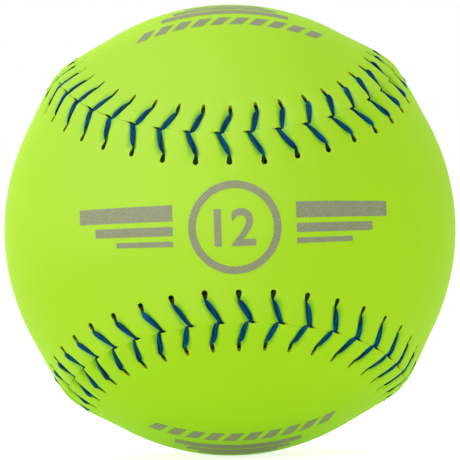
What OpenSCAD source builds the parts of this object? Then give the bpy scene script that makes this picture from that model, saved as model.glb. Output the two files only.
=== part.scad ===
// A 12 inch softball: a solid core in a coat of cement, two peanut shaped cover panels, each a
// soft skin on a fibre backing, and the two threads that lace them together. Millimetres, +Z up,
// with the middle of the ball at the origin. The front panel's waist faces -Y.

/* [Ball] */
// Radius of the smooth cover, away from the seam
ball_r = 48.3; // [40:0.1:60]
// Thickness of the cover's outer skin
skin_t = 0.5; // [0.4:0.05:0.8]
// Thickness of the fibre backing under the skin
backing_t = 1.65; // [1:0.05:2.2]
// Thickness of the cement between the core and the backing
cement_t = 0.12; // [0.08:0.01:0.3]

/* [Seam] */
// Half of the angle across the narrow waist of a panel, in degrees
waist_half = 22; // [19:0.5:26]
// Height of the seam's crest above the smooth cover
seam_rise = 1.45; // [1.2:0.05:1.8]
// How far to each side of the seam the cover is lifted off the core
seam_reach = 14.5; // [13:0.1:15.5]
// Width of the line between the two panels
seam_gap = 0.2; // [0.1:0.05:0.3]

/* [Lacing] */
// Stitches round each panel, in fours
stitches = 88; // [80:4:96]
// Distance from the seam to the middle of a needle hole
hole_offset = 6.4; // [5.5:0.1:7]
// Diameter of a needle hole
hole_d = 1.2; // [1.1:0.05:1.5]
// Width of the thread where it lies on the cover
thread_w = 1.3; // [1.1:0.05:1.5]
// Thickness of the thread
thread_t = 0.4; // [0.3:0.02:0.44]
// Room left between the thread and whatever it lies on or passes through
clear = 0.06; // [0.04:0.01:0.08]

/* [Hidden] */
$fn = 96;

backing_outer_r = ball_r - skin_t;
backing_inner_r = backing_outer_r - backing_t;
core_r = backing_inner_r - cement_t;

// The seam is a closed wave round the ball, the same after each quarter turn and mirror.
// Three terms give it: the waist sets the first two, and the third fills out the lobes.
lobe_share = -0.0135;
wave_1 = (1 + sin(waist_half)) / 2;
wave_3 = (1 - sin(waist_half)) / 2;
wave_up = 2 * sqrt(wave_1 * wave_3);

// Where each stitch lies along the seam, in shares of the distance between stitches:
// its holes are at 0, and its two limbs go into the seam a little way ahead
front_dive_share = 0.43;
rear_dive_share = 0.25;
dive_w_share = 0.125;
slit_from_share = 0.16;
slit_to_share = 0.6;
facet_from_share = -0.15;

// Along a limb, from the hole to the seam
limb_shares = [0.3, 0.72];
limb_w_shares = [0.92, 1];
limb_top_share = 0.62;
hole_w_share = 0.6;

// Height of the lifted cover at shares of seam_reach from the seam
rise_shares = [[-0.06, 1], [0.55, 0.28], [1.15, -0.07]];
rise_root_share = 1.5;

// Past the limits of the model, for cuts that go right through
overrun = 3;
wedge_r = 4 * ball_r;

function unit(v) = v / norm(v);

// A point of the seam on a ball of radius 1, where t runs from 0 to 360 once round it
function seam(t) =
    let (x = wave_1 * cos(t) + wave_3 * cos(3 * t) + lobe_share * cos(5 * t),
         y = wave_1 * sin(t) - wave_3 * sin(3 * t) + lobe_share * sin(5 * t),
         z = wave_up * sin(2 * t))
    unit([x - y, -z * sqrt(2), x + y]);

// Length along the seam against t, for stitches that are evenly spaced
seam_steps = 720;
seam_table = [
    for (i = 0, s = 0; i <= seam_steps;
         s = s + norm(seam((i + 1) * 360 / seam_steps) - seam(i * 360 / seam_steps)), i = i + 1)
        [s, i * 360 / seam_steps]
];
seam_length = seam_table[seam_steps][0];

// Degrees to each side of a point that the seam's direction is taken over
nudge = 0.5;

// The seam's parameter after u stitches, its direction there, and the way to the front panel
function seam_t(u) = lookup((u / stitches - floor(u / stitches)) * seam_length, seam_table);
function along(t) = unit(seam(t + nudge) - seam(t - nudge));
function to_front(t) = unit(cross(seam(t), along(t)));

// A point after u stitches, a degrees from the seam towards the front panel, at radius r
function place(u, a, r) =
    let (t = seam_t(u))
    r * (cos(a) * seam(t) + sin(a) * to_front(t));

// Degrees at the ball's middle for a distance on the cover
function degrees_of(distance) = distance / ball_r * 180 / PI;

reach_a = degrees_of(seam_reach);
hole_a = degrees_of(hole_offset);
gap_a = degrees_of(seam_gap / 2);

// Height of the cover above its own smooth radius, at a degrees from the seam
function rise(a) = seam_rise * lookup(abs(a) / reach_a, [[0, 1], rise_shares[1], [1, 0]]);

// Facets of a tube with n corners in each of its rings, whose last ring may join its first
function ring_faces(rows, n, closed) = [
    for (i = [0:(closed ? rows - 1 : rows - 2)])
        for (j = [0:n - 1])
            for (half = [0, 1])
                let (p = i * n + j,
                     q = i * n + (j + 1) % n,
                     p2 = ((i + 1) % rows) * n + j,
                     q2 = ((i + 1) % rows) * n + (j + 1) % n)
                half == 0 ? [p, q, q2] : [p, q2, p2]
];

// The lifted band on one side of the seam, as a ring that stands a little out of a ball of radius r
module lifted_band(r, side) {
    profile = [
        for (s = rise_shares) [s[0] * reach_a, r + s[1] * seam_rise],
        [rise_shares[0][0] * reach_a, r - rise_root_share * seam_rise]
    ];
    points = [
        for (i = [0:stitches - 1])
            for (p = profile)
                place(i + facet_from_share, side * p[0], p[1])
    ];
    faces = ring_faces(stitches, len(profile), true);
    polyhedron(points, side > 0 ? faces : [for (f = faces) [f[2], f[1], f[0]]], convexity = 10);
}

// A ball of radius r with its cover lifted towards the seam on one side
module lifted_ball(r, side) {
    sphere(r);
    lifted_band(r, side);
}

// Everything on one side of the seam, out from the middle of the ball
module side_of_seam(side) {
    half = stitches / 2;
    first = side > 0 ? stitches * 3 / 8 : stitches / 8;
    points = [
        [0, 0, 0],
        for (i = [0:stitches - 1])
            place(i + first + facet_from_share, side * gap_a, wedge_r)
    ];
    walls = [for (i = [0:stitches - 1]) [0, 1 + i, 1 + (i + 1) % stitches]];
    cap = [
        for (m = [0:half - 1])
            let (p = 1 + m,
                 p2 = 1 + m + 1,
                 q = 1 + (stitches - m) % stitches,
                 q2 = 1 + stitches - m - 1)
            each [[p, q2, p2], if (m > 0) [p, q, q2]]
    ];
    faces = [each walls, each cap];
    polyhedron(points, side > 0 ? faces : [for (f = faces) [f[2], f[1], f[0]]], convexity = 10);
}

// Turns what is drawn along +Z out to a point of the ball, with +X along the seam
module at_seam(u, a) {
    t = seam_t(u);
    out = place(u, a, 1);
    x = along(t);
    y = cross(out, x);
    multmatrix([[x[0], y[0], out[0], 0], [x[1], y[1], out[1], 0], [x[2], y[2], out[2], 0]])
        children();
}

// Distance between stitches on the cover, and the slits where the panels' edges give way to thread
stitch_step = seam_length / stitches * ball_r;
slit_length = (slit_to_share - slit_from_share) * stitch_step;
slit_w = thread_t + 4 * clear;

module needle_holes(side) {
    for (k = [0:stitches - 1])
        at_seam(k, side * hole_a)
            translate([0, 0, backing_inner_r - overrun])
                cylinder(h = ball_r - backing_inner_r + 2 * overrun, d = hole_d);
}

module seam_slits() {
    for (k = [0:stitches - 1])
        at_seam(k + (slit_from_share + slit_to_share) / 2, 0)
            translate([0, 0, ball_r])
                cube([slit_length, slit_w, 4 * overrun], center = true);
}

// One layer of a panel, from inner_r out to outer_r where it is smooth
module panel_layer(inner_r, outer_r, side) {
    difference() {
        intersection() {
            lifted_ball(outer_r, side);
            side_of_seam(side);
        }
        lifted_ball(inner_r, side);
        needle_holes(side);
        seam_slits();
    }
}

module core() {
    color("khaki")
        sphere(core_r);
}

module cement_coat() {
    color("wheat")
        difference() {
            sphere(backing_inner_r);
            sphere(core_r);
        }
}

module front_backing() {
    color("tan")
        panel_layer(backing_inner_r, backing_outer_r, 1);
}

module rear_backing() {
    color("tan")
        panel_layer(backing_inner_r, backing_outer_r, -1);
}

module front_skin() {
    color([0.66, 0.88, 0.2])
        panel_layer(backing_outer_r, ball_r, 1);
}

module rear_skin() {
    color([0.62, 0.86, 0.17])
        panel_layer(backing_outer_r, ball_r, -1);
}

// The lacing. A thread comes up through a hole, lies on the cover as a limb, goes down between
// the panels' edges and under the other panel, and comes up through that panel's next hole.
limb_r = clear + thread_t / 2;
under_r = backing_inner_r + clear + thread_t / 2;
dive_w = dive_w_share * stitch_step;

// The thread's straight run under a panel sags towards the core, so it starts that much higher
under_run = norm([hole_offset, (1 - rear_dive_share) * stitch_step]);
dive_r = under_r + 2 * under_r * (1 - cos(degrees_of(under_run) / 2));
hole_w = hole_w_share * thread_w;

function limb_ring(k, side, share, w_share) =
    let (dive = side > 0 ? front_dive_share : rear_dive_share,
         a = hole_a * (1 - share))
    [place(k + dive * share, side * a, ball_r + rise(a) + limb_r), k + dive * share,
     w_share * thread_w, side];

// The rings of one stitch: a middle, a place along the seam, a width, and which face is outside
function stitch_rings(k, side) =
    let (dive = side > 0 ? front_dive_share : rear_dive_share)
    [
        [place(k, side * hole_a, under_r), k, hole_w, 0],
        [place(k, side * hole_a, ball_r + rise(hole_a) + limb_r), k, hole_w, 0],
        for (i = [0:len(limb_shares) - 1])
            limb_ring(k, side, limb_shares[i], limb_w_shares[i]),
        [place(k + dive, 0, ball_r + seam_rise + limb_r), k + dive, dive_w, 0],
        [place(k + dive, 0, dive_r), k + dive, dive_w, 0]
    ];

// The lacing starts and ends in the middle of the front panel's lower edge. A thread's two ends
// are tucked away under the cover there, at these shares of the step that would join them.
first_stitch = floor(stitches * 5 / 8);
start_tuck_share = 0.5;
end_tuck_share = 0.3;

function tucked_end(from, to, share) =
    [from[0] * (1 - share) + to[0] * share, first_stitch - 1 + share, hole_w, 0];

function thread_rings(start_side) =
    let (laced = [
            for (i = [0:stitches - 1])
                each stitch_rings(first_stitch + i, i % 2 == 0 ? start_side : -start_side)
        ],
        last = laced[len(laced) - 1])
    [
        tucked_end(last, laced[0], start_tuck_share),
        each laced,
        tucked_end(last, laced[0], end_tuck_share)
    ];

// The four corners of ring i, mitred where the thread bends
function ring_corners(rings, i) =
    let (last = len(rings) - 1,
         into = rings[max(i, 1)][0] - rings[max(i, 1) - 1][0],
         onward = rings[min(i, last - 1) + 1][0] - rings[min(i, last - 1)][0],
         path = unit(unit(into) + unit(onward)),
         across = along(seam_t(rings[i][1])),
         flat = unit(cross(path, across)),
         half_t = flat * thread_t / 2 / (path * unit(into)),
         middle = rings[i][0],
         half_w = across * rings[i][2] / 2,
         outside = rings[i][3],
         upper_w = half_w * (outside > 0 ? limb_top_share : 1),
         lower_w = half_w * (outside < 0 ? limb_top_share : 1))
    [
        middle - lower_w - half_t,
        middle + lower_w - half_t,
        middle + upper_w + half_t,
        middle - upper_w + half_t
    ];

module lacing_thread(start_side) {
    rings = thread_rings(start_side);
    last = len(rings) - 1;
    polyhedron([for (i = [0:last]) each ring_corners(rings, i)], [
        each ring_faces(last + 1, 4, false),
        [3, 2, 1, 0],
        [for (j = [0:3]) last * 4 + j]
    ], convexity = 20);
}

module lacing_thread_1() {
    color([0.07, 0.29, 0.45])
        lacing_thread(1);
}

module lacing_thread_2() {
    color([0.08, 0.33, 0.5])
        lacing_thread(-1);
}

core();
cement_coat();
front_backing();
rear_backing();
front_skin();
rear_skin();
lacing_thread_1();
lacing_thread_2();
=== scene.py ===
"""The looks of a 12 inch softball: a pored cover in two laced panels, the flat waxed thread that
holds them, and a plain printed design. Lengths are in millimetres until a mesh is laid on the ball."""

import math

import bmesh
import bpy
import numpy as np
from mathutils import Matrix, Vector


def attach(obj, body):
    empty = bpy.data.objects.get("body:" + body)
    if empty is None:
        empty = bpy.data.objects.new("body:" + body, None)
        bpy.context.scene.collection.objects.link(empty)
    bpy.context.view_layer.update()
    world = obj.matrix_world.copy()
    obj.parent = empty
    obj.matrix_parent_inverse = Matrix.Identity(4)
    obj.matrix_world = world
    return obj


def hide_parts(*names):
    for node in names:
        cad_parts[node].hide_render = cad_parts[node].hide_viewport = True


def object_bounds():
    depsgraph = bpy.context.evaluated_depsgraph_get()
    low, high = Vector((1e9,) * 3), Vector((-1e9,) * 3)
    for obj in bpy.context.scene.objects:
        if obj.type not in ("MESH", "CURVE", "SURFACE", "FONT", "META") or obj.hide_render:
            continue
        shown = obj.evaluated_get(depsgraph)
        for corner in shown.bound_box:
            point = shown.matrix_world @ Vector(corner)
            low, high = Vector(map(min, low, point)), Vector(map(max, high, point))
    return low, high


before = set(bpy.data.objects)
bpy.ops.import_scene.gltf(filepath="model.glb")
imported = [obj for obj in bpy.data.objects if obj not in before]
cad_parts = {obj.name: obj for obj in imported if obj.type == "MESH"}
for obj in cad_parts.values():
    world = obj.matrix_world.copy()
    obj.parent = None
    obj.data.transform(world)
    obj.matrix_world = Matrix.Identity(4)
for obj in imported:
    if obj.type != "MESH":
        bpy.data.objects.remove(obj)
cad_low, cad_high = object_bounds()

MM = 0.001
BALL_R = cad_high.z / MM

# The seam, as the cover is cut, and the band that the panels' edges lift on each side of it
WAIST_HALF = math.radians(22)
LOBE = -0.0135
SEAM_RISE = 1.45
RISE_REACH = 12.65
RISE_BEND = 1.35
STITCHES = 88

# The skin, the least share of its thickness that the thread leaves, and the thread's way under it
SKIN_T = 0.5
SKIN_LEAST = 0.06
UNDER_R = BALL_R - 1.85

# Edges sharper than this stay sharp, on sheets and on the thread
SHEET_CREASE = math.radians(40)
THREAD_CREASE = math.radians(60)

# A panel's side of the seam: the one whose waist faces the camera is the front one
FRONT, REAR = 1, -1


def unit_rows(points):
    """Each row of an array of points, at a length of 1"""
    return points / np.linalg.norm(points, axis=1)[:, None]


def seam_point(turn):
    """Points of the seam on a ball of radius 1, for angles that run once round it"""
    wave_1 = (1 + math.sin(WAIST_HALF)) / 2
    wave_3 = (1 - math.sin(WAIST_HALF)) / 2
    wave_up = 2 * math.sqrt(wave_1 * wave_3)
    x = wave_1 * np.cos(turn) + wave_3 * np.cos(3 * turn) + LOBE * np.cos(5 * turn)
    y = wave_1 * np.sin(turn) - wave_3 * np.sin(3 * turn) + LOBE * np.sin(5 * turn)
    z = wave_up * np.sin(2 * turn)
    return unit_rows(np.stack([x - y, -math.sqrt(2) * z, x + y], axis=1))


# Length along the seam against the angle, for stitches that are evenly spaced
SEAM_MARKS = 2881
SEAM_TURNS = np.linspace(0, 2 * math.pi, SEAM_MARKS)
SEAM_POINTS = seam_point(SEAM_TURNS)
SEAM_LENGTHS = np.append(0, np.cumsum(np.linalg.norm(np.diff(SEAM_POINTS, axis=0), axis=1)))
STEP = SEAM_LENGTHS[-1] / STITCHES * BALL_R
NUDGE = math.radians(0.5)


def seam_frame(stitch):
    """The seam's point, its direction and the way to the front panel, after so many stitches"""
    turn = np.interp(np.mod(stitch / STITCHES, 1) * SEAM_LENGTHS[-1], SEAM_LENGTHS, SEAM_TURNS)
    along = unit_rows(seam_point(turn + NUDGE) - seam_point(turn - NUDGE))
    point = seam_point(turn)
    return point, along, unit_rows(np.cross(point, along))


def raised(directions, height):
    """Points in metres, that far above the smooth ball, out from its middle"""
    return directions * ((BALL_R + height) * MM)[:, None]


def on_ball(stitch, away, height):
    """Points in metres, that far from the seam towards the front panel and above the smooth ball"""
    point, _, to_front = seam_frame(stitch)
    angle = (away / BALL_R)[:, None]
    return raised(np.cos(angle) * point + np.sin(angle) * to_front, height)


def rise(away):
    """Height of the cover near the seam, where the panels' edges lift it"""
    return SEAM_RISE * np.clip(1 - np.abs(away) / RISE_REACH, 0, 1) ** RISE_BEND


# The seam is searched for the nearest point in this many parts, to save memory
SEARCH_PARTS = 12


def seam_distance(directions):
    """Distance in millimetres from the seam, for points of a ball of radius 1"""
    nearest = np.concatenate([
        (part @ SEAM_POINTS.T).max(axis=1)
        for part in np.array_split(directions, SEARCH_PARTS)
    ])
    return np.arccos(np.clip(nearest, -1, 1)) * BALL_R


# How far a panel's stitched band goes from the seam
PANEL_EDGE = 9.8

# How the lacing lies. Each stitch comes out of a needle hole and goes into the seam a share of a
# step further on. The front panel's stitches lie a little further on than the rear panel's.
DIVE = {FRONT: 0.42, REAR: 0.3}
HOLE_NEAR = {FRONT: 4.85, REAR: 4.7}
HOLE_FAR = {FRONT: 6.72, REAR: 6.85}
HOLE_HALF_W = {FRONT: 0.52, REAR: 0.46}

# The needle hole's half widths as shares, from its narrow end, where the thread comes out
HOLE_SHAPE = {
    FRONT: ([0, 0.08, 0.25, 0.45, 0.66, 0.84, 0.95, 1], [0.45, 0.56, 0.68, 0.88, 1, 0.9, 0.6, 0.15]),
    REAR: ([0, 0.1, 0.35, 0.6, 0.8, 0.93, 1], [0.8, 0.9, 1, 1, 0.88, 0.6, 0.15]),
}

# The rings from the grid round a needle hole to the foot of its wall: the share of the way to the
# hole's outline, how deep the ring lies, and the share of the wall's slope that it has taken
HOLE_PROFILE = ((0.42, 0, 0), (0.74, 0, 0), (0.93, 0.015, 0), (1, 0.1, 0), (1, 0.42, 1))
WALL_SLOPE = {FRONT: 0.05, REAR: 0.5}
WALL_NARROWING = 0.4

# Handwork is uneven: shares of each amount that a stitch may differ by, and then those amounts, in
# millimetres for the shift and the reach, and as shares for the others
uneven = np.random.RandomState(7)
UNEVEN = {
    (side, what): uneven.uniform(-1, 1, STITCHES)
    for side in (FRONT, REAR)
    for what in ("shift", "depth", "puff", "bow", "sway", "width", "end", "reach")
}
UNEVEN_SHIFT = 0.16
UNEVEN_REACH = 0.22
UNEVEN_DEPTH = 0.05
UNEVEN_PUFF = 0.45
UNEVEN_WIDTH = 0.1
UNEVEN_END = 0.3


def stitch_value(side, what, stitch):
    """A stitch's own share of unevenness, from -1 to 1"""
    return UNEVEN[side, what][np.round(stitch).astype(int) % STITCHES]


def flowing_value(side, what, stitch):
    """The same, eased from each stitch to the next"""
    marks = np.append(UNEVEN[side, what], UNEVEN[side, what][0])
    return np.interp(np.mod(stitch, STITCHES), np.arange(STITCHES + 1), marks)


# The groove that a limb of thread presses into the cover: its depth at distances from the seam, its
# half width, how square it is, and how much narrower it is on one side, from the seam to the hole
GROOVE_DEPTH = ([0, 0.6, 2, 3.2, 4.3, 5.2, 6.6, 8.2], [0.54, 0.5, 0.42, 0.35, 0.3, 0.22, 0.1, 0])
GROOVE_HALF_W = 0.86
GROOVE_SQUARE = 3.8
GROOVE_LEAN = 0.28
GROOVE_LEAN_SHARES = ([0, 0.25, 0.5, 0.75, 1], [1, 0.7, 0, -0.7, -0.9])

# The cover's puffed shoulders between the grooves
PUFF = 0.24
PUFF_SHOULDER = 1.3
PUFF_SQUARE = 2.4
PUFF_REACH = ([0, 0.5, 1, 1.6, 3, 4.2, 5.5, 7.4, 9.4], [0.6, 0.82, 0.95, 1, 1, 0.75, 0.5, 0.25, 0])

# A panel's edge drops a little at the seam. Where the holes run ahead, the front panel's edge is
# pulled under the rear panel's, whose cut edge shows. It also dips beside each tip of the lacing.
LIP_DROP = 0.04
LIP_W = 0.2
EDGE_SINK = 0.32
EDGE_SINK_W = 0.55
TIP_DIP = 0.24
TIP = 0.555
TIP_LENGTH = 0.055
TIP_W = 0.5

# How far a limb may bow to one side, the mean share of that, and how far it sways to both sides
BOW = 0.14
BOW_MEAN = 0.6
SWAY = 0.09

# Round the seam the holes run ahead of their places and fall back twice, in steps, so that the
# stitches lie steeper in places, and the rear holes stand further off or nearer, in millimetres
SWING_MIDDLE = {FRONT: 0.08, REAR: 0.02}
SWING = {FRONT: 0.14, REAR: 0.07}
REACH_SWING = {FRONT: 0.0, REAR: -0.3}

# Where the holes run ahead they are drawn narrower, by up to this share
HOLE_SQUEEZE = 0.3


def swing(here):
    """The swing of the holes at a place on the seam, from -1 to 1"""
    return np.sin(4 * math.pi * (here - STITCHES / 8) / STITCHES)


def lean(away, side):
    """How far on from its holes a stitch lies, in steps: it leans over between the seam and its hole"""
    return DIVE[side] * np.clip(1 - away / HOLE_NEAR[side], 0, 1)


def placed(stitch, x, away, side):
    """Steps along the seam and distance from it, for a flat stitch's point"""
    here = stitch + x / STEP
    hold = np.interp(away, [0, HOLE_NEAR[side], HOLE_FAR[side], PANEL_EDGE], [0, 1, 1, 0])
    stay = hold * np.cos(math.pi * np.clip(x / STEP, -0.5, 0.5)) ** 2
    here = here - HOLE_SQUEEZE * np.maximum(swing(here), 0) * stay * x / STEP
    shift = UNEVEN_SHIFT / STEP * stitch_value(side, "shift", stitch) * stay
    shift = shift + (SWING_MIDDLE[side] + SWING[side] * swing(here)) * hold
    reach = UNEVEN_REACH * stitch_value(side, "reach", stitch) * stay
    reach = reach + REACH_SWING[side] * swing(here) * hold
    return here + lean(away, side) + shift, away + reach


def limb_middle(stitch, away, side):
    """Where the thread's middle lies beside its straight line, as limbs bow and sway a little"""
    share = np.clip(away / HOLE_NEAR[side], 0, 1)
    bow = BOW * (BOW_MEAN + stitch_value(side, "bow", stitch))
    sway = SWAY * stitch_value(side, "sway", stitch)
    return bow * 4 * share * (1 - share) + sway * np.sin(2 * math.pi * share)


def pressed(stitch, x, away, side):
    """How far the thread presses the cover down, as a share, x along the seam from a stitch's middle"""
    narrow = math.cos(math.atan(DIVE[side] * STEP / HOLE_NEAR[side]))
    off = (x - limb_middle(stitch, away, side)) * narrow
    leaning = np.interp(away / HOLE_NEAR[side], *GROOVE_LEAN_SHARES) * np.sign(off)
    half_w = GROOVE_HALF_W * (1 - GROOVE_LEAN * leaning)
    return np.exp(-(np.abs(off / half_w) ** GROOVE_SQUARE))


def cover_height(stitch, x, away, side):
    """Height of the cover above the smooth ball, x along the seam from a stitch's own middle"""
    depth = np.interp(away, *GROOVE_DEPTH) * (1 + UNEVEN_DEPTH * stitch_value(side, "depth", stitch))
    groove = depth * pressed(stitch, x, away, side)
    shoulder = 1 - np.exp(-((np.abs(x) / PUFF_SHOULDER) ** PUFF_SQUARE))
    puff = PUFF * np.interp(away, *PUFF_REACH) * shoulder
    puff = puff * (1 + UNEVEN_PUFF * flowing_value(side, "puff", stitch + x / STEP))
    lip = LIP_DROP * np.exp(-((away / LIP_W) ** 2))
    if side == FRONT:
        sunk = np.clip(swing(stitch + x / STEP), 0, 1) ** 2
        lip = lip + EDGE_SINK * sunk * np.exp(-((away / EDGE_SINK_W) ** 2))
        ahead = np.mod(lean(away, side) + x / STEP, 1)
        lip = lip + TIP_DIP * np.exp(-((ahead - TIP) / TIP_LENGTH) ** 2 - (away / TIP_W) ** 2)
    return rise(away) + puff - groove - lip


def choose(*pieces):
    """Selects these pieces and no others, and makes the first of them the active one"""
    bpy.ops.object.select_all(action="DESELECT")
    for piece in pieces:
        piece.select_set(True)
    bpy.context.view_layer.objects.active = pieces[0]


def edit_whole(step, **settings):
    """Runs a step of edit mode on the whole of the active piece"""
    bpy.ops.object.mode_set(mode="EDIT")
    bpy.ops.mesh.select_all(action="SELECT")
    step(**settings)
    bpy.ops.object.mode_set(mode="OBJECT")


def pick(mesh, kind, test):
    """Selects the faces, edges or vertices of the mesh in edit mode whose middle or ends pass the test"""
    bpy.ops.mesh.select_mode(type=kind)
    bpy.ops.mesh.select_all(action="DESELECT")
    shape = bmesh.from_edit_mesh(mesh)
    if kind == "VERT":
        for vert in shape.verts:
            vert.select = test(vert.co)
    elif kind == "EDGE":
        for edge in shape.edges:
            edge.select = test(edge.verts[0].co, edge.verts[1].co)
    else:
        for face in shape.faces:
            face.select = test(face.calc_center_median())
    shape.select_flush_mode()
    bmesh.update_edit_mesh(mesh)


def coordinates(mesh):
    """The places of a mesh's vertices, as an array"""
    flat = np.zeros(len(mesh.vertices) * 3)
    mesh.vertices.foreach_get("co", flat)
    return flat.reshape(-1, 3)


def put_coordinates(mesh, points):
    """Moves a mesh's vertices to the rows of an array"""
    mesh.vertices.foreach_set("co", np.ascontiguousarray(points, dtype=np.float32).ravel())
    mesh.update()


def sheet_of(name, columns, rows):
    """A grid of that many faces each way, and each vertex's column and row in it"""
    bpy.ops.object.select_all(action="DESELECT")
    bpy.ops.mesh.primitive_grid_add(x_subdivisions=columns, y_subdivisions=rows, size=1)
    piece = bpy.context.object
    piece.name = piece.data.name = name
    places = coordinates(piece.data)
    return piece, (places[:, 0] + 0.5) * columns, (places[:, 1] + 0.5) * rows


def join_up(pieces, name, reach=0.004):
    """One piece out of several, with the vertices that meet made one"""
    choose(*pieces)
    if len(pieces) > 1:
        bpy.ops.object.join()
    joined = bpy.context.object
    joined.name = joined.data.name = name
    edit_whole(bpy.ops.mesh.remove_doubles, threshold=reach * MM)
    return joined


def face_out(piece):
    """Turns a sheet on the ball over if its faces point at the ball's middle"""
    middles = np.zeros(len(piece.data.polygons) * 3)
    normals = np.zeros(len(piece.data.polygons) * 3)
    piece.data.polygons.foreach_get("center", middles)
    piece.data.polygons.foreach_get("normal", normals)
    if (middles * normals).sum() < 0:
        choose(piece)
        edit_whole(bpy.ops.mesh.flip_normals)


def thicken(piece, thickness, group_name="", rim_finish=0):
    """Gives a sheet its thickness, inwards from its face, and smooth shading. The rim takes the
    finish that comes so many after the sheet's own."""
    choose(piece)
    wall = piece.modifiers.new("thickness", "SOLIDIFY")
    wall.thickness = thickness * MM
    wall.offset = -1
    wall.vertex_group = group_name
    wall.material_offset_rim = rim_finish
    bpy.ops.object.modifier_apply(modifier=wall.name)
    bpy.ops.object.shade_smooth_by_angle(angle=SHEET_CREASE)


# A cell of a panel is one stitch's length of it, laid flat: x along the seam, y away from it. Its
# needle hole takes the place of the faces between these columns and rows, and the last rows, from
# these two on, have half and then a quarter of the columns.
HALF_COLUMNS = np.array([0, 0.3, 0.58, 0.78, 0.98, 1.22, 1.6, 2.25]) / (STEP / 2)
COLUMNS = np.concatenate([-np.append(HALF_COLUMNS, 1)[::-1], HALF_COLUMNS[1:], [1]]) * STEP / 2
ROWS = np.array([0, 0.1, 0.25, 0.5, 0.85, 1.25, 1.7, 2.2, 2.7, 3.2, 3.7, 4.1,
                 4.5, 4.9, 5.3, 5.7, 6.1, 6.5, 6.9, 7.3, 7.7, 8.3, 8.9, PANEL_EDGE])
HOLE_COLUMNS = (5, 11)
HOLE_ROWS = (11, 19)
THIN_ROWS = (21, 22)

# Places on the flat cell that are nearer than this are the same place
SLACK = 0.01


def teardrop(side, count):
    """The needle hole's outline, from its narrow end near the seam and round"""
    turn = np.linspace(0, 2 * math.pi, count, endpoint=False)
    middle = (HOLE_NEAR[side] + HOLE_FAR[side]) / 2
    half = (HOLE_FAR[side] - HOLE_NEAR[side]) / 2
    wide = HOLE_HALF_W[side] * np.interp((1 - np.cos(turn)) / 2, *HOLE_SHAPE[side])
    return np.stack([wide * np.sign(np.round(np.sin(turn), 6)), middle - half * np.cos(turn)], axis=1)


def ring_round(verts, middle):
    """The vertices of a ring in their order round it, from its near end"""
    return sorted(verts, key=lambda v: math.atan2(v.co.x - middle[0], middle[1] - v.co.y) % math.tau)


def sink_hole(mesh, side, around):
    """Draws the selected edge of a flat cell's opening in to the needle hole's outline and down its
    wall, a ring at a time. The wall shows the cut edge, and near the seam, in the rear panel, the
    backing."""
    outline = teardrop(side, around)
    middle = outline.mean(axis=0)
    shape = bmesh.from_edit_mesh(mesh)
    block = np.array([v.co[:2] for v in ring_round([v for v in shape.verts if v.select], middle)])
    far_shares = np.clip((outline[:, 1] - middle[1]) / (HOLE_FAR[side] - middle[1]), 0, 1)
    for share, drop, sloped in HOLE_PROFILE:
        inward = sloped * WALL_SLOPE[side]
        bpy.ops.mesh.extrude_edges_move()
        shape = bmesh.from_edit_mesh(mesh)
        ring = ring_round([v for v in shape.verts if v.select], middle)
        for vert, start, end, far_share in zip(ring, block, outline, far_shares):
            place = start * (1 - share) + end * share
            vert.co = (place[0] * (1 - inward * WALL_NARROWING), place[1] - inward * far_share, -drop)
        if sloped:
            for face in shape.faces:
                if any(vert.select for vert in face.verts):
                    far = face.calc_center_median().y > middle[1]
                    face.material_index = 1 if side == FRONT or far else 2
        bmesh.update_edit_mesh(mesh)


def stitch_cell(side):
    """One stitch's length of a panel, laid flat, with its needle hole"""
    cell, column, row = sheet_of("stitch_cell", len(COLUMNS) - 1, len(ROWS) - 1)
    dress(cell, COVER, EDGE, BACKING)
    flat = np.zeros((len(column), 3))
    flat[:, 0] = COLUMNS[np.round(column).astype(int)]
    flat[:, 1] = ROWS[np.round(row).astype(int)]
    put_coordinates(cell.data, flat)

    bpy.ops.object.mode_set(mode="EDIT")
    left, right = COLUMNS[HOLE_COLUMNS[0]], COLUMNS[HOLE_COLUMNS[1]]
    near, far = ROWS[HOLE_ROWS[0]], ROWS[HOLE_ROWS[1]]
    pick(cell.data, "FACE", lambda p: left < p.x < right and near < p.y < far)
    bpy.ops.mesh.delete(type="FACE")
    pick(cell.data, "VERT", lambda p: left - SLACK < p.x < right + SLACK
         and near - SLACK < p.y < far + SLACK)
    sink_hole(cell.data, side, 2 * (HOLE_COLUMNS[1] - HOLE_COLUMNS[0] + HOLE_ROWS[1] - HOLE_ROWS[0]))

    for order, first_row in enumerate(THIN_ROWS):
        kept = COLUMNS[::2 ** (order + 1)]
        low = ROWS[first_row] - SLACK
        pick(cell.data, "EDGE", lambda a, b: min(a.y, b.y) > low and abs(a.x - b.x) < SLACK
             and np.abs(kept - a.x).min() > SLACK)
        bpy.ops.mesh.dissolve_edges(use_verts=True)
    bpy.ops.object.mode_set(mode="OBJECT")
    return cell


# The panels' edges part where the thread goes down between them: from and to, in steps from the
# stitch's needle holes, and how fast the opening closes away from the seam
SLIT = (0.16, 0.57)
SLIT_SWING = 0.13
SLIT_HALF_W = ([0, 0.25, 0.7, 0.88, 1], [0, 0.09, 0.16, 0.13, 0])
SLIT_FADE = 0.6
LIP_HALF_GAP = 0.003

# The painted shade beside the thread, a darker green for the groove's shadow and the green light bounced
# in it, goes wider than its groove, by this power of the groove's share, and ends short of the needle
# hole's far end
GROOVE_SHADE_SPREAD = 0.75
GROOVE_SHADE_REACH = ([0, 0.5, 4.5, 5.7], [0.7, 1, 1, 0])


def lip_opening(stitch):
    """How far a panel's edge stands back from the seam"""
    end = SLIT[1] + SLIT_SWING * swing(stitch) ** 2
    share = np.mod(stitch - SLIT[0], 1) / (end - SLIT[0])
    return LIP_HALF_GAP + np.interp(share, *SLIT_HALF_W)


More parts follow.
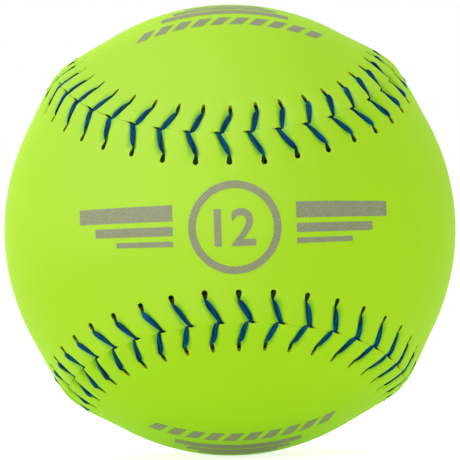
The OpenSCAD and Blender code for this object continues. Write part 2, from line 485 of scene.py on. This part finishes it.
def lay_cell(flat, stitch, side):
    """A flat cell's vertices, laid on the ball at a stitch, on one side of the seam, and how much
    painted groove shade, the shadow beside the thread, the cover's colour takes at each"""
    x, away, drop = flat[:, 0], flat[:, 1], flat[:, 2]
    even = np.clip((away - HOLE_FAR[side]) / (PANEL_EDGE - HOLE_FAR[side]), 0, 1)
    even = even * even * (3 - 2 * even)
    spread = np.interp(x, COLUMNS, np.linspace(-STEP / 2, STEP / 2, len(COLUMNS)))
    x = x * (1 - even) + spread * even
    own = np.full(len(x), stitch)
    along, away_moved = placed(own, x, away, side)
    opening = lip_opening(along) * np.exp(-away / SLIT_FADE)
    height = cover_height(own, x, away, side) + drop
    # Painted shade: the groove's shadow beside the thread, as a share that darkens the cover's colour
    groove_shade = pressed(own, x, away, side) ** GROOVE_SHADE_SPREAD * np.interp(away, *GROOVE_SHADE_REACH)
    return on_ball(along, side * (away_moved + opening), height), groove_shade


# A panel's plain middle has ribs from edge to edge, so many to a stitch, from the end of one of its
# lobes, at this place on the seam, to the end of the other. The first and last have next to no length.
RIBS_A_STITCH = 4
MIDDLE_ROWS = 22
LOBE_END = {FRONT: STITCHES * 3 / 8, REAR: STITCHES / 8}
LEAST_GAP = 1e-6


def panel_middle(side):
    """The plain middle of a panel, inside the cells' inner edge, as ribs from edge to edge"""
    ribs = STITCHES * RIBS_A_STITCH // 2
    sheet, column, row = sheet_of("panel_middle", ribs, MIDDLE_ROWS)
    dress(sheet, COVER, EDGE, BACKING)
    edge = np.full(len(column), side * PANEL_EDGE)
    start, end = (unit_rows(on_ball(LOBE_END[side] + way * column / RIBS_A_STITCH, edge, 0 * column))
                  for way in (1, -1))
    share = (row / MIDDLE_ROWS)[:, None]
    gap = np.arccos(np.clip((start * end).sum(axis=1), -1, 1))[:, None]
    gap = np.maximum(gap, LEAST_GAP)
    directions = unit_rows((np.sin((1 - share) * gap) * start + np.sin(share * gap) * end) / np.sin(gap))
    put_coordinates(sheet.data, raised(directions, rise(seam_distance(directions))))
    return sheet


def cover_panel(side, name):
    """A cover panel: a cell for each stitch and the plain middle, given the skin's thickness"""
    cell = stitch_cell(side)
    flat = coordinates(cell.data)
    cells = []
    for stitch in range(STITCHES):
        copy = cell.copy()
        copy.data = cell.data.copy()
        bpy.context.collection.objects.link(copy)
        places, groove_shade = lay_cell(flat, stitch, side)
        put_coordinates(copy.data, places)
        # Painted shade beside the thread, kept on each vertex for the cover's colour
        copy.data.attributes.new("groove_shade", "FLOAT", "POINT").data.foreach_set("value", groove_shade)
        cells.append(copy)
    bpy.data.objects.remove(cell)
    band = join_up(cells, "panel_band")
    face_out(band)
    middle = panel_middle(side)
    face_out(middle)
    panel = join_up([band, middle], name)

    # The skin is thinnest where the thread presses it onto the backing
    points = coordinates(panel.data) / MM
    radius = np.linalg.norm(points, axis=1)
    backing = BALL_R - SKIN_T + rise(seam_distance(points / radius[:, None]))
    weights = np.clip((radius - backing) / SKIN_T, SKIN_LEAST, 1)
    group = panel.vertex_groups.new(name="skin_thickness")
    for index, weight in enumerate(weights):
        group.add([index], float(weight), "REPLACE")
    thicken(panel, SKIN_T, group.name, rim_finish=1)
    return panel


# The thread is a flat one of several strands, whose relief winds round it a little at each ring.
# Its route over one stitch: the hole, the limb over the cover, the dive into the seam, and the way
# under the other panel to the next hole. Both threads begin at the same place on the seam.
ROUND_THREAD = 24
STRANDS = 9
STRAND_RELIEF = 0.1
STRAND_WINDING = 0.11
FLATNESS = 0.8
THREAD_T = 0.36
THREAD_W = {FRONT: 1.1, REAR: 1.05}
LIMB_RINGS, DIVE_RINGS, UNDER_RINGS = 20, 5, 3
FIRST_STITCH = STITCHES * 5 // 8

# A limb's widths and thicknesses as shares, from its hole to the seam, with its end's own width
LIMB_W = {
    FRONT: ([0, 0.06, 0.15, 0.3, 0.62, 0.86], [0.62, 0.72, 0.88, 1, 1.02, 1.04]),
    REAR: ([0, 0.04, 0.1, 0.2, 0.62, 0.86], [0.62, 0.84, 1, 1.03, 1, 0.98]),
}
END_W = {FRONT: 1.06, REAR: 0.98}
LIMB_T = ([0, 0.1, 0.3, 0.8, 1], [0.75, 0.85, 1, 1, 0.9])

# Where a limb leaves its hole, beyond the hole's narrow end, how near the seam it ends, and how far
# it sinks at its ends; between them it stands proud
EMERGE = 0.05
LIMB_END_AWAY = 0.03
LIMB_LIE = 0.4
SINK = ([0, 0.06, 0.12, 0.3, 0.6, 0.85, 1], [0.24, 0.02, -0.11, -0.13, -0.06, 0.08, 0.2])

# The flat thread turns from one face towards the other, from its hole to the seam, and that lifts
# it by a share of its width
TWIST = math.radians(32)
TWIST_SHARES = ([0, 0.12, 0.25, 0.5, 0.75, 1], [-1.45, -1.05, -0.6, 0, 0.65, 1])
TWIST_LIFT = 0.1

# The thread's rings inside its hole: further from the seam, and deeper, than its limb's end
HOLE_AWAY = np.array([0.6, 0.58, 0.5, 0.36, 0.16])
HOLE_DEEP = np.array([1.7, 1.3, 0.9, 0.6, 0.3])
HOLE_THREAD = 0.34

# Its rings on the way down, a little past the seam, from just under the limb's end to just over the
# way under the other panel, and then its rings on that way
DOWN = np.linspace(0.12, 1, DIVE_RINGS)
DIVE_PAST, DIVE_PAST_MORE = 0.04, 0.02
DIVE_START, DIVE_END = -0.25, 0.1
DIVE_W_SHARE = 0.95
DIVE_T = 0.3
UNDER = np.linspace(0.2, 0.8, UNDER_RINGS)
UNDER_LIE = UNDER_R - BALL_R
UNDER_W = 0.7
UNDER_T = 0.4


def thread_stitch(stitch, side):
    """The rings of one stitch, a row each: steps along the seam, distance from it, height above the
    smooth ball, width, thickness and twist"""
    own = np.full(LIMB_RINGS, float(stitch))
    share = (1 - np.cos(np.linspace(0, math.pi, LIMB_RINGS))) / 2
    flat_away = (HOLE_NEAR[side] + EMERGE) * (1 - share) + LIMB_END_AWAY * share
    wide = 1 + UNEVEN_WIDTH * stitch_value(side, "width", own)[0]
    end = END_W[side] * (1 + UNEVEN_END * stitch_value(side, "end", own)[0])
    places, shares = LIMB_W[side]
    width = THREAD_W[side] * wide * np.interp(share, places + [1], shares + [end])
    twist = TWIST * np.interp(share, *TWIST_SHARES)
    thick = THREAD_T * np.interp(share, *LIMB_T)
    middle = limb_middle(own, flat_away, side)
    lie = cover_height(own, middle, flat_away, side) + thick * LIMB_LIE
    lie = lie - np.interp(share, *SINK)
    lie = lie + np.abs(np.sin(twist)) * width * TWIST_LIFT
    along, away = placed(own, middle, flat_away, side)

    next_hole = HOLE_NEAR[-side] + EMERGE
    dive_lie = (lie[-1] + DIVE_START) * (1 - DOWN) + (UNDER_LIE + DIVE_END) * DOWN
    dive_w = np.interp(DOWN, [0, 1], [width[-1] * DIVE_W_SHARE, UNDER_W])
    under_along = along[-1] * (1 - UNDER) + (stitch + 1) * UNDER
    rings = np.concatenate([np.stack(np.broadcast_arrays(*part), axis=1) for part in (
        (along[0], away[0] + HOLE_AWAY, lie[0] - HOLE_DEEP, HOLE_THREAD, HOLE_THREAD, 0),
        (along, away, lie, width, thick, twist),
        (along[-1], -DIVE_PAST - DIVE_PAST_MORE * DOWN, dive_lie, dive_w, DIVE_T, TWIST * (1 - DOWN)),
        (under_along, -next_hole * UNDER, UNDER_LIE, UNDER_W, UNDER_T, 0),
    )])
    rings[:, 1] *= side
    return rings


def lacing(first_side, name):
    """A whole lacing thread: a flat grid rolled into a tube along its route round the ball"""
    along, away, lie, width, thick, twist = np.concatenate([
        thread_stitch(FIRST_STITCH + i, first_side if i % 2 == 0 else -first_side)
        for i in range(STITCHES)]).T
    middles = on_ball(along, away, lie)
    middles[1:-1] = (middles[:-2] + 2 * middles[1:-1] + middles[2:]) / 4
    ahead = unit_rows(np.gradient(middles, axis=0))
    _, across, _ = seam_frame(along)
    across = unit_rows(across - (across * ahead).sum(axis=1)[:, None] * ahead)
    flat_way = np.cross(ahead, across)
    outward = np.sign((flat_way * middles).sum(axis=1))
    turned = (twist * outward)[:, None]
    across, flat_way = (np.cos(turned) * across + np.sin(turned) * flat_way,
                        np.cos(turned) * flat_way - np.sin(turned) * across)

    tube, turn, ring = sheet_of(name, ROUND_THREAD, len(along) - 1)
    ring = np.round(ring).astype(int)
    angle = turn / ROUND_THREAD * math.tau
    strand = 1 + STRAND_RELIEF * np.cos(STRANDS * angle + ring * STRAND_WINDING)
    half_w = np.cos(angle) * width[ring] / 2
    half_t = np.sign(np.sin(angle)) * np.abs(np.sin(angle)) ** FLATNESS * thick[ring] / 2 * strand
    points = middles[ring] + (half_w[:, None] * across[ring] + half_t[:, None] * flat_way[ring]) * MM
    put_coordinates(tube.data, points)
    thread = join_up([tube], name, reach=0.002)
    bpy.ops.object.mode_set(mode="EDIT")
    bpy.ops.mesh.select_mode(type="EDGE")
    bpy.ops.mesh.select_all(action="DESELECT")
    bpy.ops.mesh.select_non_manifold(extend=False)
    bpy.ops.mesh.edge_face_add()
    bpy.ops.mesh.select_all(action="SELECT")
    bpy.ops.mesh.normals_make_consistent(inside=False)
    bpy.ops.object.mode_set(mode="OBJECT")
    bpy.ops.object.shade_smooth_by_angle(angle=THREAD_CREASE)
    return thread


# The print: how far its face lies above the skin, its thickness, the cells that it is cut into so
# that it follows the ball, and the least distance from its middle that has a direction
PRINT_LIFT = 0.035
PRINT_T = 0.03
PRINT_CELL = 1.0
PRINT_MIDDLE = 1e-9

# The figures in the ring on the waist, the share of their size by which their outline is moved out to
# make them bold, and how near points of it are one
FIGURES = "12"
FIGURES_HEIGHT = 7.6
BOLD = 0.02
FIGURE_SLACK = 0.0005
RING_OUTER, RING_INNER = 9.4, 7.9
RING_CELLS = (72, 2)

# The stepped bars on each side of the ring: low, high, near and far from the middle
WAIST_BARS = ((1.6, 4.9, 12.6, 34), (-1.4, 0.5, 12.6, 30), (-3.6, -2.5, 12.6, 25))

# On each lobe: the row of slanted bars, and the stepped bars beyond it, as low, high and half length
ROW_PLACES = range(-18, 19, 4)
ROW_BAR = (1.3, 1.9)
ROW_SLANT = 0.5
LOBE_BARS = ((4.6, 7.4, 13.5), (8.4, 10.6, 11), (11.6, 13.2, 8.5))
LOBE_PRINT_TURN = math.radians(64)


def lay_print(piece, turn):
    """Lays flat print, drawn on the XZ plane in millimetres, on the cover and turns it into place"""
    flat = coordinates(piece.data)
    radius = np.linalg.norm(flat[:, [0, 2]], axis=1)
    angle = radius / BALL_R
    sideways = flat[:, [0, 2]] / np.maximum(radius, PRINT_MIDDLE)[:, None] * np.sin(angle)[:, None]
    directions = np.stack([sideways[:, 0], -np.cos(angle), sideways[:, 1]], axis=1)
    directions = directions @ np.array(turn).T
    put_coordinates(piece.data, raised(directions, rise(seam_distance(directions)) + PRINT_LIFT))
    face_out(piece)
    thicken(piece, PRINT_T)
    return piece


def bar(left, right, low, high, slant=0.0):
    """A flat printed bar, whose ends lean by the slant"""
    columns = max(1, round((right - left) / PRINT_CELL))
    rows = max(1, round((high - low) / PRINT_CELL))
    piece, column, row = sheet_of("bar", columns, rows)
    x = left + (right - left) * column / columns
    z = low + (high - low) * row / rows
    put_coordinates(piece.data, np.stack([x + slant * (z - low), 0 * x, z], axis=1))
    return piece


def flat_ring():
    """The printed ring"""
    around, deep = RING_CELLS
    piece, column, row = sheet_of("ring", around, deep)
    turn = column / around * math.tau
    radius = RING_INNER + (RING_OUTER - RING_INNER) * row / deep
    places = np.stack([radius * np.cos(turn), 0 * turn, radius * np.sin(turn)], axis=1)
    put_coordinates(piece.data, places)
    return piece


def flat_figures():
    """The plain figures, cut into cells"""
    bpy.ops.object.select_all(action="DESELECT")
    bpy.ops.object.text_add()
    figures = bpy.context.object
    figures.data.body = FIGURES
    figures.data.size = 1
    figures.data.offset = BOLD
    bpy.ops.object.convert(target="MESH")
    figures = bpy.context.object
    edit_whole(bpy.ops.mesh.remove_doubles, threshold=FIGURE_SLACK)
    flat = coordinates(figures.data)
    low, high = flat.min(axis=0), flat.max(axis=0)
    flat = (flat - (low + high) / 2) * (FIGURES_HEIGHT / (high[1] - low[1]))
    put_coordinates(figures.data, flat)
    reach = np.abs(flat).max(axis=0)
    for axis, normal in ((0, Vector((1, 0, 0))), (1, Vector((0, 1, 0)))):
        for cut in np.arange(-reach[axis] + PRINT_CELL / 2, reach[axis], PRINT_CELL):
            edit_whole(bpy.ops.mesh.bisect, plane_co=normal * float(cut), plane_no=normal)
    flat = coordinates(figures.data)
    put_coordinates(figures.data, np.stack([flat[:, 0], 0 * flat[:, 0], flat[:, 1]], axis=1))
    return figures


def front_print():
    """The printed band on the front waist: plain figures in a ring between stepped bars"""
    flat = [flat_figures(), flat_ring()]
    for way in (-1, 1):
        for low, high, near, far in WAIST_BARS:
            left, right = sorted((way * near, way * far))
            flat.append(bar(left, right, low, high))
    return lay_print(join_up(flat, "front_print"), Matrix.Identity(3))


def lobe_print(name, way):
    """The slanted and stepped bars on a lobe of the rear panel, above or below the front's waist"""
    half_w, half_h = ROW_BAR
    flat = [bar(x - half_w, x + half_w, -half_h, half_h, ROW_SLANT) for x in ROW_PLACES]
    for low, high, half in LOBE_BARS:
        low, high = sorted((way * low, way * high))
        flat.append(bar(-half, half, low, high))
    return lay_print(join_up(flat, name), Matrix.Rotation(-way * LOBE_PRINT_TURN, 3, "X"))


def set_inputs(tree, node, inputs):
    """Links or sets a node's inputs, by name or number"""
    for key, value in inputs.items():
        if isinstance(value, bpy.types.NodeSocket):
            tree.links.new(value, node.inputs[key])
        else:
            node.inputs[key].default_value = value


def add_node(tree, kind, inputs, **settings):
    """A node in a tree, with its inputs and its settings"""
    node = tree.nodes.new(kind)
    for key, value in settings.items():
        setattr(node, key, value)
    set_inputs(tree, node, inputs)
    return node


def worked_out(tree, operation, *values):
    """The result of an operation on numbers or other nodes' outputs"""
    node = add_node(tree, "ShaderNodeMath", dict(enumerate(values)), operation=operation)
    return node.outputs[0]


def ramp(tree, value, low, high, to_low=0, to_high=1):
    """A value that runs from low to high, made to run between two others"""
    node = add_node(tree, "ShaderNodeMapRange", {
        "Value": value, "From Min": low, "From Max": high, "To Min": to_low, "To Max": to_high})
    return node.outputs["Result"]


def mixed_color(tree, share, first, second, blend="MIX"):
    """A share of the second colour on the first. The mixing node's colours go by their numbers"""
    node = add_node(tree, "ShaderNodeMix", {"Factor": share, 6: first, 7: second},
                    data_type="RGBA", blend_type=blend)
    return node.outputs[2]


def new_group(name, inputs, outputs):
    """A shader node group with named inputs, with their start values, and named outputs"""
    group = bpy.data.node_groups.new(name, "ShaderNodeTree")
    for label, (kind, value) in inputs.items():
        made = group.interface.new_socket(label, in_out="INPUT", socket_type=kind)
        if value is not None:
            made.default_value = value
    for label, kind in outputs.items():
        group.interface.new_socket(label, in_out="OUTPUT", socket_type=kind)
    start = group.nodes.new("NodeGroupInput")
    end = group.nodes.new("NodeGroupOutput")
    return group, start.outputs, end


def uneven_tone_group():
    """Mixes two tones of a colour by a soft cloud, as dyed and printed surfaces vary"""
    group, given, end = new_group(
        "Uneven tone",
        {"Vector": ("NodeSocketVector", None), "Tone": ("NodeSocketColor", (0.5, 0.5, 0.5, 1)),
         "Other Tone": ("NodeSocketColor", (0.4, 0.4, 0.4, 1)), "Scale": ("NodeSocketFloat", 20)},
        {"Color": "NodeSocketColor", "Mask": "NodeSocketFloat"})
    cloud = add_node(group, "ShaderNodeTexNoise", {
        "Vector": given["Vector"], "Scale": given["Scale"], "Detail": 4, "Roughness": 0.6})
    share = ramp(group, cloud.outputs["Fac"], 0.32, 0.68)
    mixed = mixed_color(group, share, given["Tone"], given["Other Tone"])
    set_inputs(group, end, {"Color": mixed, "Mask": share})
    return group


def pored_grain_group():
    """Pores and fine creases of a coated cover, as a height"""
    group, given, end = new_group(
        "Pored grain",
        {"Vector": ("NodeSocketVector", None), "Pore Scale": ("NodeSocketFloat", 1400),
         "Crease Scale": ("NodeSocketFloat", 260), "Pore Depth": ("NodeSocketFloat", 0.5)},
        {"Height": "NodeSocketFloat", "Pores": "NodeSocketFloat"})
    pores = add_node(group, "ShaderNodeTexVoronoi", {
        "Vector": given["Vector"], "Scale": given["Pore Scale"], "Randomness": 1}, feature="F1")
    dent = ramp(group, pores.outputs["Distance"], 0.05, 0.4)
    creases = add_node(group, "ShaderNodeTexNoise", {
        "Vector": given["Vector"], "Scale": given["Crease Scale"], "Detail": 5,
        "Roughness": 0.55, "Distortion": 0.6})
    depth = worked_out(group, "MULTIPLY", dent, given["Pore Depth"])
    total = worked_out(group, "ADD", depth, creases.outputs["Fac"])
    set_inputs(group, end, {"Height": total, "Pores": dent})
    return group


def drawn_fibres_group():
    """Long fibres that lie one way, as a mask and a height, for thread and for fibre backing"""
    group, given, end = new_group(
        "Drawn fibres",
        {"Vector": ("NodeSocketVector", None), "Across": ("NodeSocketFloat", 10),
         "Along": ("NodeSocketFloat", 100), "Waver": ("NodeSocketFloat", 0.2)},
        {"Mask": "NodeSocketFloat", "Height": "NodeSocketFloat"})
    stretch = add_node(group, "ShaderNodeCombineXYZ", {
        "X": given["Across"], "Y": given["Along"], "Z": 1})
    scaled = add_node(group, "ShaderNodeVectorMath", {
        0: given["Vector"], 1: stretch.outputs[0]}, operation="MULTIPLY")
    fibres = add_node(group, "ShaderNodeTexNoise", {
        "Vector": scaled.outputs[0], "Scale": 1, "Detail": 3, "Roughness": 0.65,
        "Distortion": given["Waver"]}).outputs["Fac"]
    set_inputs(group, end, {"Mask": ramp(group, fibres, 0.42, 0.6), "Height": fibres})
    return group


UNEVEN_TONE = uneven_tone_group()
PORED_GRAIN = pored_grain_group()
DRAWN_FIBRES = drawn_fibres_group()


def grouped(tree, group, **inputs):
    """The outputs of a group in a material, with its inputs by name, where _ stands for a space"""
    node = add_node(tree, "ShaderNodeGroup", {
        key.replace("_", " "): value for key, value in inputs.items()}, node_tree=group)
    return node.outputs


def shader(name):
    """A material, its node tree, and the coordinates of the piece that has it"""
    material = bpy.data.materials.new(name)
    material.use_nodes = True
    tree = material.node_tree
    return material, tree, add_node(tree, "ShaderNodeTexCoord", {}).outputs["Object"]


def set_surface(tree, color, roughness, relief, **others):
    """Gives a material its colour and roughness, its relief, which is a height, its strength and its
    depth in metres, and others of the shader's inputs by name, where _ stands for a space"""
    height, strength, depth = relief
    bump = add_node(tree, "ShaderNodeBump", {"Height": height, "Strength": strength, "Distance": depth})
    inputs = {"Base Color": color, "Roughness": roughness, "Normal": bump.outputs["Normal"]}
    inputs.update((key.replace("_", " "), value) for key, value in others.items())
    set_inputs(tree, tree.nodes["Principled BSDF"], inputs)


def optic_cover():
    """The cover's pored, satin, optic yellow-green skin, with painted shade in the grooves beside the
    thread: a darker, more saturated green for their shadow and bounced green light
    """
    material, tree, where = shader("optic_cover")
    tone = grouped(tree, UNEVEN_TONE, Vector=where, Tone=(0.475, 0.865, 0.006, 1),
                   Other_Tone=(0.455, 0.845, 0.004, 1), Scale=28)
    groove_shade = add_node(tree, "ShaderNodeAttribute", {}, attribute_name="groove_shade")
    # Painted shade: a darker, more saturated green beside the thread, for the groove's shadow and the
    # green light bounced in it
    deeper = mixed_color(tree, groove_shade.outputs["Fac"], tone["Color"], (0.2, 0.6, 0.0, 1))
    grain = grouped(tree, PORED_GRAIN, Vector=where, Pore_Scale=1500, Crease_Scale=240, Pore_Depth=0.35)
    set_surface(tree, deeper, ramp(tree, grain["Pores"], 0, 1, 0.72, 0.64),
                (grain["Height"], 0.16, 0.00012), Specular_IOR_Level=0.18)
    return material


def cut_edge():
    """The raw edge of the cover where it is cut or pierced"""
    material, tree, where = shader("cut_edge")
    tone = grouped(tree, UNEVEN_TONE, Vector=where, Tone=(0.4, 0.34, 0.04, 1),
                   Other_Tone=(0.2, 0.17, 0.02, 1), Scale=900)
    set_surface(tree, tone["Color"], 0.85, (tone["Mask"], 0.5, 0.00008), Specular_IOR_Level=0.01)
    return material


def fibre_backing():
    """The dark olive fibre board under the skin"""
    material, tree, where = shader("fibre_backing")
    tone = grouped(tree, UNEVEN_TONE, Vector=where, Tone=(0.06, 0.07, 0.02, 1),
                   Other_Tone=(0.03, 0.045, 0.012, 1), Scale=700)
    fibres = grouped(tree, DRAWN_FIBRES, Vector=where, Across=2400, Along=500, Waver=1.5)
    set_surface(tree, tone["Color"], 0.9, (fibres["Height"], 0.6, 0.0001), Specular_IOR_Level=0.01)
    return material


def waxed_thread():
    """Blue waxed thread: drawn strands, dark between them, with painted shade at its edges for the shadow
    where it lies against the cover, and patches of thin wax
    """
    material, tree, where = shader("waxed_thread")
    along = add_node(tree, "ShaderNodeUVMap", {}, uv_map="UVMap").outputs["UV"]
    strands = grouped(tree, DRAWN_FIBRES, Vector=along, Across=11, Along=STITCHES * 2, Waver=0.3)
    hairs = grouped(tree, DRAWN_FIBRES, Vector=along, Across=60, Along=STITCHES * 12, Waver=0.2)
    patches = grouped(tree, UNEVEN_TONE, Vector=where, Tone=(0.0, 0.13, 0.48, 1),
                      Other_Tone=(0.001, 0.2, 0.36, 1), Scale=420)
    tone = mixed_color(tree, strands["Mask"], (0.0, 0.02, 0.11, 1), patches["Color"])
    fine = mixed_color(tree, 0.3, tone, hairs["Mask"], blend="MULTIPLY")

    # Each side of the flat thread is half the way round it, so its two edges are half a turn apart
    round_it = add_node(tree, "ShaderNodeSeparateXYZ", {0: along}).outputs["X"]
    from_edge = worked_out(tree, "PINGPONG", round_it, 0.25)
    # Painted shade: both edges of the thread are darkened in colour, for the shadow where it meets the
    # groove's walls
    edge_shaded = mixed_color(tree, ramp(tree, from_edge, 0.01, 0.12, 0.85, 0), fine, (0.0, 0.02, 0.03, 1))
    height = worked_out(tree, "ADD", strands["Height"], hairs["Height"])
    set_surface(tree, edge_shaded, 0.6, (height, 0.45, 0.00008), Specular_IOR_Level=0.01)
    return material


def core_foam():
    """The dense polyurethane core, with its fine closed cells"""
    material, tree, where = shader("core_foam")
    tone = grouped(tree, UNEVEN_TONE, Vector=where, Tone=(0.62, 0.5, 0.24, 1),
                   Other_Tone=(0.5, 0.38, 0.16, 1), Scale=120)
    cells = grouped(tree, PORED_GRAIN, Vector=where, Pore_Scale=900, Crease_Scale=300, Pore_Depth=1)
    set_surface(tree, tone["Color"], 0.8, (cells["Height"], 0.5, 0.0002))
    return material


def cement():
    """The dried coat of cement on the core"""
    material, tree, where = shader("cement")
    tone = grouped(tree, UNEVEN_TONE, Vector=where, Tone=(0.66, 0.48, 0.2, 1),
                   Other_Tone=(0.5, 0.33, 0.1, 1), Scale=200)
    set_surface(tree, tone["Color"], 0.45, (tone["Mask"], 0.4, 0.0001))
    return material


def printed_ink():
    """Flat grey ink, laid on in fine slanted lines"""
    material, tree, where = shader("printed_ink")
    turned = add_node(tree, "ShaderNodeMapping", {
        "Vector": where, "Rotation": (0, math.radians(-45), 0)})
    lines = add_node(tree, "ShaderNodeTexWave", {
        "Vector": turned.outputs[0], "Scale": 660, "Distortion": 3, "Detail": 2, "Detail Scale": 3},
        bands_direction="X").outputs["Fac"]
    tone = grouped(tree, UNEVEN_TONE, Vector=where, Tone=(0.29, 0.32, 0.19, 1),
                   Other_Tone=(0.24, 0.27, 0.15, 1), Scale=500)
    mixed = mixed_color(tree, ramp(tree, lines, 0.45, 0.9, 0, 0.8), tone["Color"], (0.45, 0.49, 0.3, 1))
    set_surface(tree, mixed, 0.55, (lines, 0.15, 0.00005), Specular_IOR_Level=0.1)
    return material


def dress(piece, *materials):
    """Gives a piece its materials in place of those that it has"""
    piece.data.materials.clear()
    for material in materials:
        piece.data.materials.append(material)


def seat(piece, slot_name, *nodes):
    """Puts a finished piece on the ball's body, and hides the nodes that it stands for. The slot name is
    not used.
    """
    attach(piece, "root")
    if nodes:
        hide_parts(*nodes)


# The camera stands 15 radii from the middle of the ball, which is turned a little to it
CAMERA_AWAY = 15 * BALL_R * MM
CAMERA_LENS = 264.2
SENSOR = 36
BALL_TURN = Vector((-0.65, 1.19, 1.83))
CLIP_NEAR, CLIP_FAR = 0.05, 20

# The floor's size, and its own light, as the ball gets it from below and as the camera sees it
FLOOR_SIZE = 12
FLOOR_TONE = (0.95, 0.95, 0.95, 1)
FLOOR_GLOW = 0.11
FLOOR_GLOW_SEEN = 0.72

# The light from all round, as the ball gets it; the camera sees white
WORLD_LEVEL = 0.72
WHITE = (1, 1, 1, 1)

# Each lamp faces the middle of the ball: its place, its width and height, its power, and its colour
LAMPS = {
    "key": ((-0.95, -0.5, 0.5), 0.6, 0.6, 1.45, (1, 0.78, 0.55)),
    "sheen": ((-1.3, -1.5, 1.2), 6, 6, 790, (1, 1, 1)),
}


def add_camera():
    """The photograph's camera, which faces the front panel's waist, less the ball's own small turn"""
    turn = Matrix.Rotation(math.radians(BALL_TURN.length), 3, BALL_TURN).transposed()
    to_part = Matrix(((1, 0, 0), (0, 0, -1), (0, 1, 0)))
    back = to_part @ turn @ Vector((0, 0, 1))
    up = to_part @ turn @ Vector((0, 1, 0))
    right = up.cross(back)
    bpy.ops.object.camera_add()
    camera = bpy.context.object
    camera.matrix_world = Matrix.Translation(back * CAMERA_AWAY) @ Matrix(
        (right, up, back)).transposed().to_4x4()
    camera.data.lens = CAMERA_LENS
    camera.data.sensor_width = SENSOR
    camera.data.clip_start, camera.data.clip_end = CLIP_NEAR, CLIP_FAR
    bpy.context.scene.camera = camera


def emptied_tree(owner):
    """The node tree of a material or a world, with nothing in it"""
    owner.use_nodes = True
    owner.node_tree.nodes.clear()
    return owner.node_tree


def seen_rays(tree):
    """1 where the camera, a reflection or a clear surface looks, and 0 where light is gathered"""
    path = add_node(tree, "ShaderNodeLightPath", {}).outputs
    seen = worked_out(tree, "MAXIMUM", path["Is Camera Ray"], path["Is Glossy Ray"])
    return worked_out(tree, "MAXIMUM", seen, path["Is Transmission Ray"])


def add_floor():
    """A pale floor that keeps the ball's shadow, with a glow that is stronger where it is seen"""
    bpy.ops.object.select_all(action="DESELECT")
    bpy.ops.mesh.primitive_plane_add(size=FLOOR_SIZE, location=(0, 0, cad_low.z))
    floor = bpy.context.object
    floor.name = "floor"
    material = bpy.data.materials.new("pale_floor")
    tree = emptied_tree(material)
    matt = add_node(tree, "ShaderNodeBsdfDiffuse", {"Color": FLOOR_TONE})
    level = worked_out(tree, "MULTIPLY_ADD", seen_rays(tree), FLOOR_GLOW_SEEN - FLOOR_GLOW, FLOOR_GLOW)
    glow = add_node(tree, "ShaderNodeEmission", {"Color": WHITE, "Strength": level})
    both = add_node(tree, "ShaderNodeAddShader", {0: matt.outputs[0], 1: glow.outputs[0]})
    add_node(tree, "ShaderNodeOutputMaterial", {"Surface": both.outputs[0]})
    dress(floor, material)


def add_light():
    """Even light from all round, a warm soft lamp at the left, and a wide one, at the upper left, that
    shows only as the cover's sheen"""
    world = bpy.data.worlds.new("studio")
    bpy.context.scene.world = world
    tree = emptied_tree(world)
    around = add_node(tree, "ShaderNodeBackground", {"Color": WHITE, "Strength": WORLD_LEVEL})
    white = add_node(tree, "ShaderNodeBackground", {"Color": WHITE, "Strength": 1})
    mixed = add_node(tree, "ShaderNodeMixShader", {
        0: seen_rays(tree), 1: around.outputs[0], 2: white.outputs[0]})
    add_node(tree, "ShaderNodeOutputWorld", {"Surface": mixed.outputs[0]})
    for name, (place, wide, tall, power, color) in LAMPS.items():
        bpy.ops.object.light_add(type="AREA", location=place)
        lamp = bpy.context.object
        lamp.name = name
        lamp.data.shape = "RECTANGLE"
        lamp.data.size, lamp.data.size_y = wide, tall
        lamp.data.energy, lamp.data.color = power, color
        lamp.rotation_euler = Vector(place).to_track_quat("Z", "Y").to_euler()
    bpy.data.objects["sheen"].visible_diffuse = False


COVER, EDGE, BACKING = optic_cover(), cut_edge(), fibre_backing()
THREAD, INK = waxed_thread(), printed_ink()
for node, material in (("core", core_foam()), ("cement_coat", cement()),
                       ("front_backing", BACKING), ("rear_backing", BACKING)):
    dress(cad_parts[node], material)

for side, label in ((FRONT, "front"), (REAR, "rear")):
    panel = cover_panel(side, label + "_cover_panel")
    seat(panel, "cover_skin", label + "_skin")

for order, side in ((1, FRONT), (2, REAR)):
    thread = lacing(side, "laced_thread_%d" % order)
    dress(thread, THREAD)
    seat(thread, "waxed_thread", "lacing_thread_%d" % order)

for piece in (front_print(), lobe_print("upper_print", 1), lobe_print("lower_print", -1)):
    dress(piece, INK)
    seat(piece, "cover_skin")

add_camera()
add_floor()
add_light()
bpy.context.scene.view_settings.view_transform = "Standard"
